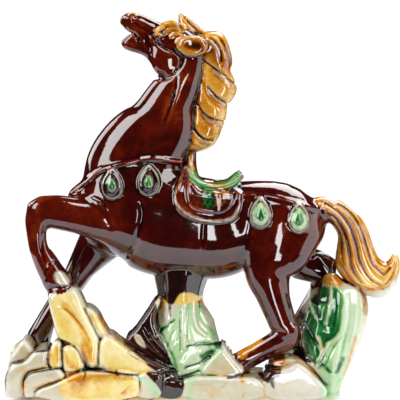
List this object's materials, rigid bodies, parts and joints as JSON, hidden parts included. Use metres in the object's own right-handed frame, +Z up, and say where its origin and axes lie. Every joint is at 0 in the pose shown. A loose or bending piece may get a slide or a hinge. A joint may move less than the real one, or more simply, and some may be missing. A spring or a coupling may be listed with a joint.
{
  "type": "ceramic horse statue",
  "caption": "Glazed ceramic horse with a raised foreleg, long mane, saddle and swept tail, cast in one with the rocky base that carries it.",
  "frame": {"origin": "on the underside, below the middle of the statue's bounding box", "axes": "+Z up, -X the way the head faces, -Y the near side, which the picture shows"},
  "size_m": [0.2975, 0.0826, 0.289],
  "materials": {
    "glaze": "glossy"
  },
  "bodies": {
    "root": {"horse_statue": "glaze"}
  },
  "joints": []
}
